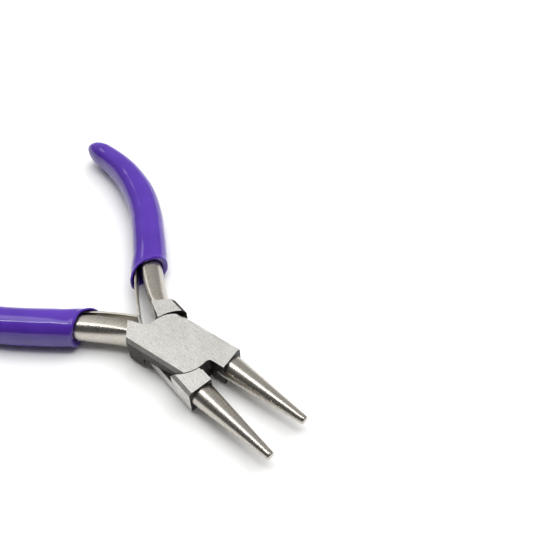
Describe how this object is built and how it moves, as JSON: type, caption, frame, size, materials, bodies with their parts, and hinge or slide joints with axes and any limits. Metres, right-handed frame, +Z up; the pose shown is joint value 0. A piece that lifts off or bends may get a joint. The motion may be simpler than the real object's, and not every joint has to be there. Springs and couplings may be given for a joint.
{
  "type": "round nose pliers",
  "caption": "Jewellery round nose pliers with smooth cone jaws, a lap joint, leaf return springs and dipped vinyl grips.",
  "frame": {"origin": "centre of the bounding box's underside, under the middle of the tool as it lies on its grips", "axes": "+X from handles to jaw tips, +Y from handle A to handle B, +Z up along the rivet"},
  "size_m": [0.1099, 0.073, 0.0106],
  "materials": {
    "steel": "ground satin faces, polished cones and necks",
    "spring_steel": "bright rolled strip",
    "vinyl": "glossy dipped vinyl"
  },
  "bodies": {
    "half_a": {"half_a": "steel", "grip_a": "vinyl", "spring_rivet_a": "steel", "pivot_rivet": "steel"},
    "half_b": {"half_b": "steel", "grip_b": "vinyl", "spring_rivet_b": "steel"},
    "leaf_a": {"leaf_spring_a": "spring_steel"},
    "leaf_b": {"leaf_spring_b": "spring_steel"}
  },
  "joints": [
    {"name": "pivot", "type": "hinge", "parent": "half_a", "child": "half_b", "pos_m": [0.01849, 0, 0.0053], "axis": [0, 0, 1], "range_deg": [0, 15.2], "stiffness_Nm_per_rad": 0.8},
    {"name": "leaf_a_flex", "type": "hinge", "parent": "half_a", "child": "leaf_a", "pos_m": [-0.01198, -0.01375, 0.0053], "axis": [0, 0, 1], "range_deg": [-5.2, 0.3]},
    {"name": "leaf_b_flex", "type": "hinge", "parent": "half_b", "child": "leaf_b", "pos_m": [-0.01198, 0.01375, 0.0053], "axis": [0, 0, 1], "range_deg": [-0.3, 7.6]}
  ],
  "couplings": [
    {"joint": "leaf_a_flex", "follows": "pivot", "ratio": -0.32},
    {"joint": "leaf_b_flex", "follows": "pivot", "ratio": 0.48}
  ]
}
